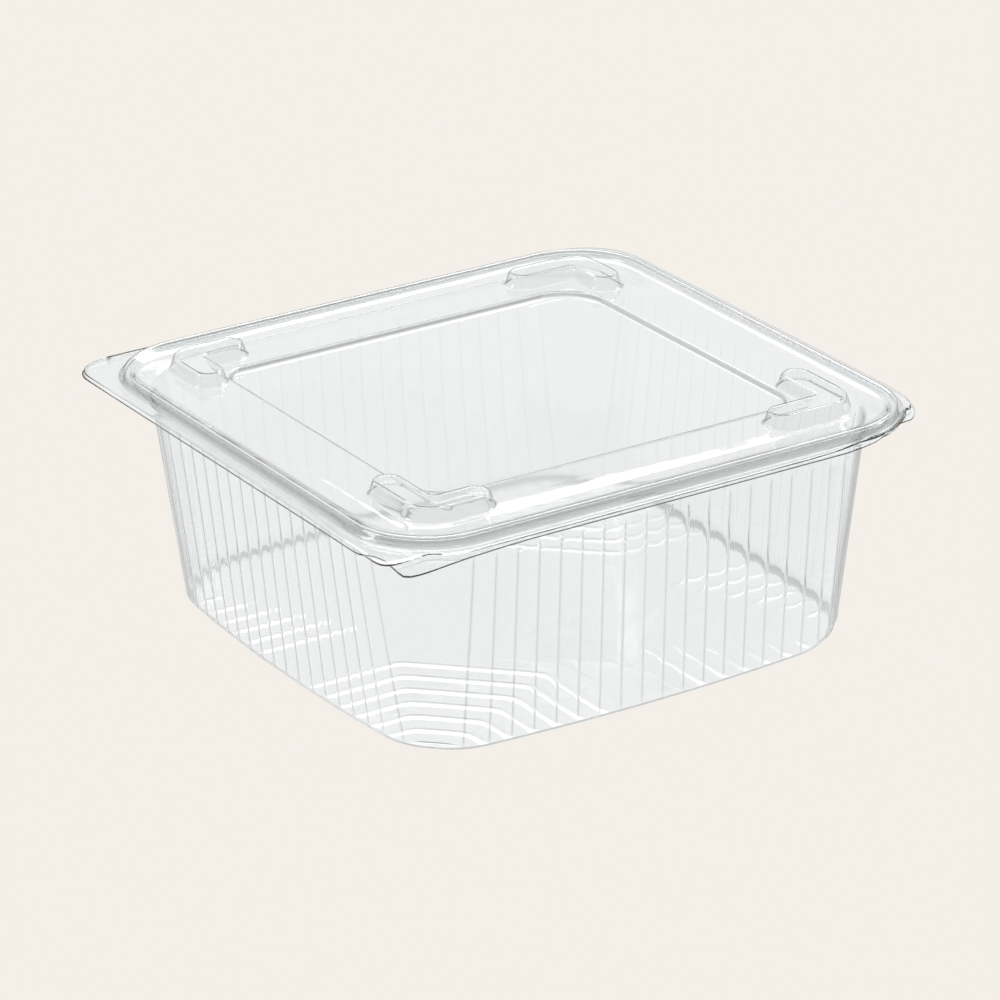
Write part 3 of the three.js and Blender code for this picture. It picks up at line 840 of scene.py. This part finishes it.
def clear_sheet_material():
    """Clear PET, thermoformed from glossy roll sheet.

    The eye sees through it almost unchanged; it shows by the gleam of its rounded edges, by painted
    shade, a grey where it is looked along and along the lines and bands that the mesh marks, and by a
    slight unevenness from the drawing.
    """
    look = bpy.context.scene.takeaway_sheet
    material = bpy.data.materials.new(SHEET_NAME)
    tree = empty_tree(material)
    place = add_node(tree, "ShaderNodeTexCoord").outputs["Object"]
    drawn = add_node(tree, "ShaderNodeTexNoise", {"Vector": place}, Scale=DRAWN_SCALE, Detail=2.0)
    bump = add_node(
        tree,
        "ShaderNodeBump",
        {"Height": drawn.outputs["Fac"]},
        Strength=DRAWN_STRENGTH,
        Distance=DRAWN_DEPTH,
    )
    # Painted shade at the silhouettes: upright walls that are looked along turn grey
    along = add_node(tree, "ShaderNodeLayerWeight", Blend=0.5)
    edge = smooth_range(tree, along.outputs["Facing"], FACING_GREY)
    surface = add_node(tree, "ShaderNodeNewGeometry")
    parts = add_node(tree, "ShaderNodeSeparateXYZ", {"Vector": surface.outputs["Normal"]})
    level = add_node(tree, "ShaderNodeMath", {0: parts.outputs["Z"]}, operation="ABSOLUTE")
    upright = smooth_range(tree, level.outputs["Value"], UPRIGHT_GREY, 1.0, 0.0)
    share = joined(tree, "MULTIPLY", edge, upright)
    # Painted shade: the mesh's per-point share of grey lines along creases, ribs and the step, and grey
    # bands on the bead and the flange edge
    painted_shade = add_node(tree, "ShaderNodeAttribute", attribute_name="painted_shade")
    greyest = joined(tree, "MAXIMUM", share, painted_shade.outputs["Fac"])
    # Painted shade: the colour runs from the sheet's own colour to the painted shade's grey
    depth = add_node(tree, "ShaderNodeValToRGB", {"Fac": greyest})
    depth.color_ramp.elements[0].color = (*look.colour, 1.0)
    depth.color_ramp.elements[1].color = (*look.painted_shade_colour, 1.0)
    # Painted shade: where the walls are looked along, the sheet lets less light through, so that the grey
    # shows as a dark outline
    clear = add_node(tree, "ShaderNodeMath", {0: share}, operation="MULTIPLY_ADD")
    clear.inputs[1].default_value = -PAINTED_EDGE_SHADE
    clear.inputs[2].default_value = 1.0
    plastic = add_node(
        tree,
        "ShaderNodeBsdfPrincipled",
        {
            "Normal": bump.outputs["Normal"],
            "Base Color": depth.outputs["Color"],
            "Transmission Weight": clear.outputs["Value"],
        },
        Roughness=look.roughness,
        IOR=PET_IOR,
    )
    path = add_node(tree, "ShaderNodeLightPath")
    shadow = add_node(tree, "ShaderNodeBsdfTransparent")
    shadow.inputs["Color"].default_value = (SHADOW_CLEARNESS, SHADOW_CLEARNESS, SHADOW_CLEARNESS, 1.0)
    mix_to_output(
        tree,
        "ShaderNodeOutputMaterial",
        path.outputs["Is Shadow Ray"],
        plastic.outputs["BSDF"],
        shadow.outputs["BSDF"],
    )
    return material


def sheet_material():
    """The one clear material that every piece of the box shares."""
    return bpy.data.materials.get(SHEET_NAME) or clear_sheet_material()


class SheetSettings(bpy.types.PropertyGroup):
    """Thickness and look of the clear sheet"""

    thickness: bpy.props.FloatProperty(
        name="Sheet thickness", description="Thickness of the formed sheet", default=0.0003, unit="LENGTH"
    )
    colour: bpy.props.FloatVectorProperty(
        name="Sheet colour",
        description="What the sheet does to light that passes through it",
        subtype="COLOR",
        size=3,
        min=0.0,
        max=1.0,
        default=rgb("#fafbfb")[:3],
    )
    # Painted shade: the grey that the sheet's colour is mixed towards where it is looked along and along
    # its painted lines and bands
    painted_shade_colour: bpy.props.FloatVectorProperty(
        name="Sheet edge colour",
        description="What the sheet does to light where it is looked along",
        subtype="COLOR",
        size=3,
        min=0.0,
        max=1.0,
        default=rgb("#505252")[:3],
    )
    roughness: bpy.props.FloatProperty(
        name="Sheet roughness", description="How much the sheet's gloss is blurred", default=0.03
    )


class TraySettings(bpy.types.PropertyGroup):
    """Sizes of the tray's pressed pattern"""

    rib_depth: bpy.props.FloatProperty(
        name="Rib depth", description="How far the wall ribs are pressed in", default=0.00026, unit="LENGTH"
    )
    ripple_height: bpy.props.FloatProperty(
        name="Ripple height", description="How high the floor ripples stand", default=0.0003, unit="LENGTH"
    )


class StageSettings(bpy.types.PropertyGroup):
    """Colour and light of the studio"""

    backdrop: bpy.props.FloatVectorProperty(
        name="Backdrop colour",
        description="Colour of the floor as the camera sees it",
        subtype="COLOR",
        size=3,
        min=0.0,
        max=1.0,
        default=rgb("#f4efe8")[:3],
    )
    light: bpy.props.FloatProperty(name="Light", description="Strength of the studio's light", default=1.0)


class TAKEAWAY_OT_tray(bpy.types.Operator):
    """Build the clear tray with its ribs, rippled floor and flange"""

    bl_idname = "takeaway.tray"
    bl_label = "Tray"

    def execute(self, context):
        tray = build_tray(sheet_material())
        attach(tray, "tray")
        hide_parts("tray")
        return {"FINISHED"}


class TAKEAWAY_OT_lid(bpy.types.Operator):
    """Build the clear lid with its bead, step and stacking lugs"""

    bl_idname = "takeaway.lid"
    bl_label = "Lid"

    def execute(self, context):
        lid = build_lid(sheet_material())
        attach(lid, "lid")
        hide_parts("lid")
        return {"FINISHED"}


class TAKEAWAY_OT_fold(bpy.types.Operator):
    """Build the fold that joins the tray and the lid along the back"""

    bl_idname = "takeaway.fold"
    bl_label = "Fold"

    def execute(self, context):
        fold = build_fold(sheet_material())
        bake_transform(fold)
        return {"FINISHED"}


class TAKEAWAY_OT_stage(bpy.types.Operator):
    """Build the pale floor, the studio light and the camera"""

    bl_idname = "takeaway.stage"
    bl_label = "Stage"

    def execute(self, context):
        build_floor()
        build_world()
        build_lights()
        build_camera()
        return {"FINISHED"}


def build_floor():
    """A level pale floor: the backdrop's colour where the camera sees it, neutral where the box does."""
    stage = bpy.context.scene.takeaway_stage
    far = FLOOR_REACH
    corners = [(-far, -far, 0), (far, -far, 0), (far, far, 0), (-far, far, 0)]
    mesh = bpy.data.meshes.new("floor")
    mesh.from_pydata(corners, [], [(0, 1, 2, 3)])
    floor = bpy.data.objects.new("floor", mesh)
    bpy.context.scene.collection.objects.link(floor)
    floor.location.z = -FLOOR_DROP
    material = bpy.data.materials.new("Pale studio floor")
    tree = empty_tree(material)
    path = add_node(tree, "ShaderNodeLightPath")
    seen = add_node(tree, "ShaderNodeEmission")
    seen.inputs["Color"].default_value = (*stage.backdrop, 1.0)
    behind = add_node(tree, "ShaderNodeEmission")
    behind.inputs["Color"].default_value = rgb("#f8f8f8")
    mix_to_output(
        tree,
        "ShaderNodeOutputMaterial",
        path.outputs["Is Camera Ray"],
        behind.outputs["Emission"],
        seen.outputs["Emission"],
    )
    mesh.materials.append(material)


def build_world():
    """Studio walls: bright behind the box, darker beside it and dark in front, where the camera stands.

    The brightness follows the cosine of the angle to the direction that a level surface mirrors
    into the camera, falls off near the floor, and the ceiling is bright. The camera itself sees
    the backdrop's colour.
    """
    stage = bpy.context.scene.takeaway_stage
    world = bpy.data.worlds.new("Studio")
    bpy.context.scene.world = world
    tree = empty_tree(world)
    place = add_node(tree, "ShaderNodeTexCoord").outputs["Generated"]
    away = add_node(tree, "ShaderNodeVectorMath", {0: place}, operation="DOT_PRODUCT")
    azimuth, elevation = np.radians([CAMERA_AZIMUTH, CAMERA_ELEVATION])
    away.inputs[1].default_value = (
        -np.sin(azimuth) * np.cos(elevation),
        np.cos(azimuth) * np.cos(elevation),
        np.sin(elevation),
    )
    walls = smooth_range(tree, away.outputs["Value"], WALLS_FROM_TO, WALLS_DARK, BRIGHTEST)
    up = add_node(tree, "ShaderNodeSeparateXYZ", {"Vector": place}).outputs["Z"]
    ceiling = smooth_range(tree, up, CEILING_FROM_TO, 0.0, BRIGHTEST)
    horizon = smooth_range(tree, up, HORIZON_FROM_TO, HORIZON_SHARE, 1.0)
    brightest = joined(tree, "MAXIMUM", joined(tree, "MULTIPLY", walls, horizon), ceiling)
    lit = add_node(tree, "ShaderNodeBackground", {"Strength": brightest})
    lit.inputs["Color"].default_value = (stage.light, stage.light, stage.light, 1.0)
    seen = add_node(tree, "ShaderNodeBackground")
    seen.inputs["Color"].default_value = (*stage.backdrop, 1.0)
    path = add_node(tree, "ShaderNodeLightPath")
    mix_to_output(
        tree,
        "ShaderNodeOutputWorld",
        path.outputs["Is Camera Ray"],
        lit.outputs["Background"],
        seen.outputs["Background"],
    )


def build_lights():
    """A broad soft light high behind the box, and a small one high at each side."""
    for name, place, size, power in (
        ("softbox_back", (0.683, 0.785, 0.937), (0.8, 0.45), 2.9),
        ("softbox_left", (-1.1, 0.5, 0.9), (0.5, 0.4), 2.4),
        ("softbox_right", (1.2, -0.2, 0.9), (0.5, 0.4), 2.4),
    ):
        data = bpy.data.lights.new(name, "AREA")
        data.shape = "RECTANGLE"
        data.size, data.size_y = size
        data.energy = power
        light = bpy.data.objects.new(name, data)
        light.location = place
        aim = Vector((0, 0, 0.05)) - Vector(place)
        light.rotation_euler = aim.to_track_quat("-Z", "Y").to_euler()
        bpy.context.scene.collection.objects.link(light)


def build_camera():
    """The photograph's camera: its place, its aim from azimuth and elevation, and its slight roll.

    The colour view is Standard, which keeps the backdrop's colour, and light may pass many
    walls of the clear sheet.
    """
    azimuth, elevation, roll = np.radians([CAMERA_AZIMUTH, CAMERA_ELEVATION, CAMERA_ROLL])
    back = Vector(
        (
            np.sin(azimuth) * np.cos(elevation),
            -np.cos(azimuth) * np.cos(elevation),
            np.sin(elevation),
        )
    )
    right = (-back).cross(Vector((0, 0, 1))).normalized()
    down = (-back).cross(right)
    turned_right = right * np.cos(roll) + down * np.sin(roll)
    turned_down = down * np.cos(roll) - right * np.sin(roll)
    data = bpy.data.cameras.new("camera")
    data.lens = CAMERA_LENS
    data.sensor_width = CAMERA_SENSOR
    camera = bpy.data.objects.new("camera", data)
    turn = Matrix((turned_right, -turned_down, back)).transposed()
    camera.matrix_world = Matrix.Translation(Vector(CAMERA_PLACE) * MM) @ turn.to_4x4()
    bpy.context.scene.collection.objects.link(camera)
    bpy.context.scene.camera = camera
    bpy.context.scene.view_settings.view_transform = "Standard"
    cycles = bpy.context.scene.cycles
    cycles.max_bounces = CLEAR_BOUNCES
    cycles.transmission_bounces = CLEAR_BOUNCES
    cycles.transparent_max_bounces = CLEAR_BOUNCES
    cycles.glossy_bounces = GLOSSY_BOUNCES


class TAKEAWAY_PT_box(bpy.types.Panel):
    """Lists the pieces of the box and their sizes"""

    bl_label = "Takeaway box"
    bl_idname = "TAKEAWAY_PT_box"
    bl_space_type = "VIEW_3D"
    bl_region_type = "UI"
    bl_category = "Takeaway box"

    def draw(self, context):
        layout = self.layout
        scene = context.scene
        for settings in (scene.takeaway_sheet, scene.takeaway_tray, scene.takeaway_stage):
            for name in settings.__annotations__:
                layout.prop(settings, name)
        for operator in PIECES:
            layout.operator(operator.bl_idname)


PIECES = (TAKEAWAY_OT_tray, TAKEAWAY_OT_lid, TAKEAWAY_OT_fold, TAKEAWAY_OT_stage)
SETTINGS = {
    "takeaway_sheet": SheetSettings,
    "takeaway_tray": TraySettings,
    "takeaway_stage": StageSettings,
}


def register():
    """Registers the settings, the operators and the panel"""
    for settings in SETTINGS.values():
        bpy.utils.register_class(settings)
    for operator in PIECES:
        bpy.utils.register_class(operator)
    bpy.utils.register_class(TAKEAWAY_PT_box)
    for name, settings in SETTINGS.items():
        setattr(bpy.types.Scene, name, bpy.props.PointerProperty(type=settings))


def unregister():
    """Takes back all that register adds, in the opposite order"""
    for name in SETTINGS:
        delattr(bpy.types.Scene, name)
    bpy.utils.unregister_class(TAKEAWAY_PT_box)
    for operator in reversed(PIECES):
        bpy.utils.unregister_class(operator)
    for settings in reversed(list(SETTINGS.values())):
        bpy.utils.unregister_class(settings)


def main():
    """Builds the box and its studio"""
    register()
    bpy.ops.takeaway.tray()
    bpy.ops.takeaway.lid()
    bpy.ops.takeaway.fold()
    bpy.ops.takeaway.stage()


if __name__ == "__main__":
    main()
